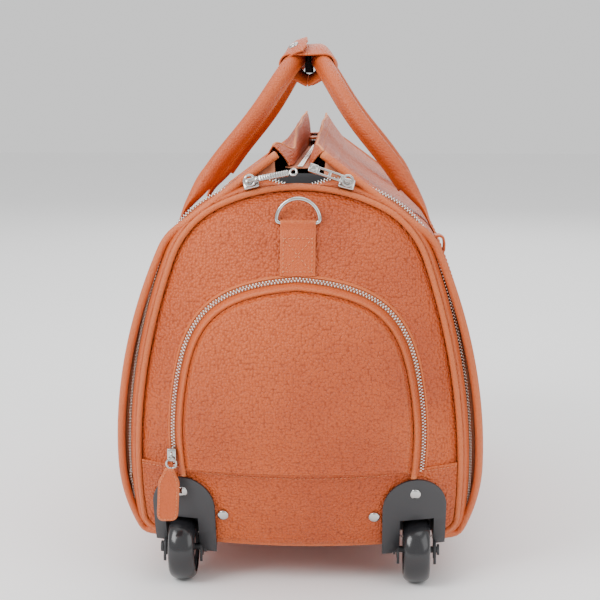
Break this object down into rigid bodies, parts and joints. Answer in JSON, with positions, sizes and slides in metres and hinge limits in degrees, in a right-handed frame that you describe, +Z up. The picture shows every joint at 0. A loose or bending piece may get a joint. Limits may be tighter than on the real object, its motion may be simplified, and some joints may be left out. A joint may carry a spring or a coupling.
{
  "type": "rolling travel bag",
  "caption": "Tan leather rolling holdall with domed ends, inline wheels, telescopic tow handle, carry handles with a snap wrap, end pocket and zips.",
  "frame": {"origin": "on the floor under the middle of the bag", "axes": "+Y from the wheeled end to the tow-handle end, +X to the right seen from the wheeled end, +Z up"},
  "size_m": [0.33, 0.596, 0.497],
  "materials": {
    "tan_leather": "pebbled grain, satin",
    "smooth_leather": "smooth, satin",
    "zip_tape": "woven tape with metal teeth",
    "lining_cloth": "woven lining",
    "nickel": "polished nickel plate",
    "steel": "turned steel",
    "aluminium_tube": "satin anodised",
    "black_plastic": "moulded, fine texture",
    "rim_plastic": "moulded, satin",
    "board_plastic": "sheet, matte",
    "wheel_rubber": "polyurethane tyre, glossy"
  },
  "bodies": {
    "bag": {"body_shell": "tan_leather", "lining": "lining_cloth", "front_end_panel": "tan_leather", "rear_end_panel": "tan_leather", "front_piping": "smooth_leather", "rear_piping": "smooth_leather", "front_zip": "zip_tape", "front_bottom_band": "tan_leather", "pocket_panel": "tan_leather", "pocket_zip": "zip_tape", "pocket_piping": "smooth_leather", "axles": "steel", "left_wheel_housing": "black_plastic", "right_wheel_housing": "black_plastic", "rivets": "nickel", "rear_feet": "black_plastic", "screws": "steel", "base_board": "board_plastic", "tube_clamps": "black_plastic", "false_floor": "lining_cloth", "outer_tubes": "aluminium_tube", "tow_bezel": "black_plastic", "front_strap_tab": "tan_leather", "rear_strap_tab": "tan_leather", "left_placket": "tan_leather", "right_placket": "tan_leather", "top_zip": "zip_tape", "handle_patches": "tan_leather", "side_pocket_zip": "zip_tape", "side_loop": "smooth_leather"},
    "left_wheel": {"left_tyre": "wheel_rubber", "left_rim": "rim_plastic", "left_bearings": "steel"},
    "right_wheel": {"right_tyre": "wheel_rubber", "right_rim": "rim_plastic", "right_bearings": "steel"},
    "middle_stage": {"middle_tubes": "aluminium_tube"},
    "inner_stage": {"inner_tubes": "aluminium_tube", "tow_grip": "black_plastic"},
    "release_button": {"button_cap": "rim_plastic", "push_rods": "steel"},
    "left_pin": {"left_lock_pin": "steel"},
    "right_pin": {"right_lock_pin": "steel"},
    "front_ring": {"front_dee_ring": "nickel"},
    "rear_ring": {"rear_dee_ring": "nickel"},
    "left_slide": {"front_left_slider": "nickel"},
    "left_pull": {"front_left_puller": "nickel"},
    "right_slide": {"front_right_slider": "nickel"},
    "right_pull": {"front_right_puller": "nickel"},
    "pocket_slide": {"pocket_slider": "nickel"},
    "pocket_pull": {"pocket_puller": "smooth_leather"},
    "top_slide": {"top_slider": "nickel"},
    "top_pull": {"top_puller": "smooth_leather"},
    "left_carry": {"left_handle": "tan_leather", "left_wrap": "tan_leather"},
    "flap": {"wrap_flap": "tan_leather", "flap_snap": "nickel"},
    "right_carry": {"right_handle": "tan_leather", "right_wrap": "tan_leather"}
  },
  "joints": [
    {"name": "left_wheel_spin", "type": "hinge", "parent": "bag", "child": "left_wheel", "pos_m": [-0.107, -0.233, 0.03], "axis": [1, 0, 0], "continuous": true},
    {"name": "right_wheel_spin", "type": "hinge", "parent": "bag", "child": "right_wheel", "pos_m": [0.107, -0.233, 0.03], "axis": [1, 0, 0], "continuous": true},
    {"name": "middle_stage_slide", "type": "slide", "parent": "bag", "child": "middle_stage", "axis": [0, 1, 0], "range_m": [0, 0.24]},
    {"name": "inner_stage_slide", "type": "slide", "parent": "middle_stage", "child": "inner_stage", "axis": [0, 1, 0], "range_m": [0, 0.24]},
    {"name": "release_button_press", "type": "slide", "parent": "inner_stage", "child": "release_button", "axis": [0, -1, 0], "range_m": [0, 0.003], "stiffness_N_per_m": 900},
    {"name": "left_pin_draw", "type": "slide", "parent": "inner_stage", "child": "left_pin", "axis": [1, 0, 0], "range_m": [0, 0.0016]},
    {"name": "right_pin_draw", "type": "slide", "parent": "inner_stage", "child": "right_pin", "axis": [-1, 0, 0], "range_m": [0, 0.0016]},
    {"name": "front_ring_swing", "type": "hinge", "parent": "bag", "child": "front_ring", "pos_m": [0, -0.26377, 0.3335], "axis": [1, 0, 0], "range_deg": [-12, 135]},
    {"name": "rear_ring_swing", "type": "hinge", "parent": "bag", "child": "rear_ring", "pos_m": [0, 0.27577, 0.3335], "axis": [-1, 0, 0], "range_deg": [-12, 135]},
    {"name": "left_zip_slide", "type": "hinge", "parent": "bag", "child": "left_slide", "pos_m": [0, 0, 0.201], "axis": [0, 1, 0], "range_deg": [-11, 0]},
    {"name": "left_pull_swing", "type": "hinge", "parent": "left_slide", "child": "left_pull", "pos_m": [-0.04141, -0.24525, 0.36464], "axis": [-0.1119, -0.8899, 0.4423], "range_deg": [-3, 80]},
    {"name": "right_zip_slide", "type": "hinge", "parent": "bag", "child": "right_slide", "pos_m": [0, 0, 0.201], "axis": [0, 1, 0], "range_deg": [0, 11]},
    {"name": "right_pull_swing", "type": "hinge", "parent": "right_slide", "child": "right_pull", "pos_m": [0.04141, -0.24525, 0.36464], "axis": [0.1119, -0.8899, 0.4423], "range_deg": [-80, 3]},
    {"name": "pocket_zip_slide", "type": "hinge", "parent": "bag", "child": "pocket_slide", "pos_m": [0, 0.084, 0.201], "axis": [1, 0, 0], "range_deg": [-9, 0]},
    {"name": "pocket_pull_swing", "type": "hinge", "parent": "pocket_slide", "child": "pocket_pull", "pos_m": [-0.1125, -0.27227, 0.124], "axis": [1, 0, 0], "range_deg": [-120, 0]},
    {"name": "top_zip_slide", "type": "slide", "parent": "bag", "child": "top_slide", "axis": [0, -1, 0], "range_m": [0, 0.385]},
    {"name": "top_pull_swing", "type": "hinge", "parent": "top_slide", "child": "top_pull", "pos_m": [0, 0.215, 0.3877], "axis": [1, 0, 0], "range_deg": [-120, 0]},
    {"name": "left_handle_swing", "type": "hinge", "parent": "bag", "child": "left_carry", "pos_m": [-0.106, 0, 0.3415], "axis": [0, 1, 0], "range_deg": [-120, 0]},
    {"name": "flap_open", "type": "hinge", "parent": "left_carry", "child": "flap", "pos_m": [-0.0124, 0, 0.481], "axis": [0, 1, 0], "range_deg": [-100, 0]},
    {"name": "right_handle_swing", "type": "hinge", "parent": "bag", "child": "right_carry", "pos_m": [0.106, 0, 0.3415], "axis": [0, 1, 0], "range_deg": [0, 120]}
  ],
  "couplings": [
    {"joint": "left_pin_draw", "follows": "release_button_press", "ratio": 0.53333},
    {"joint": "right_pin_draw", "follows": "release_button_press", "ratio": 0.53333}
  ]
}
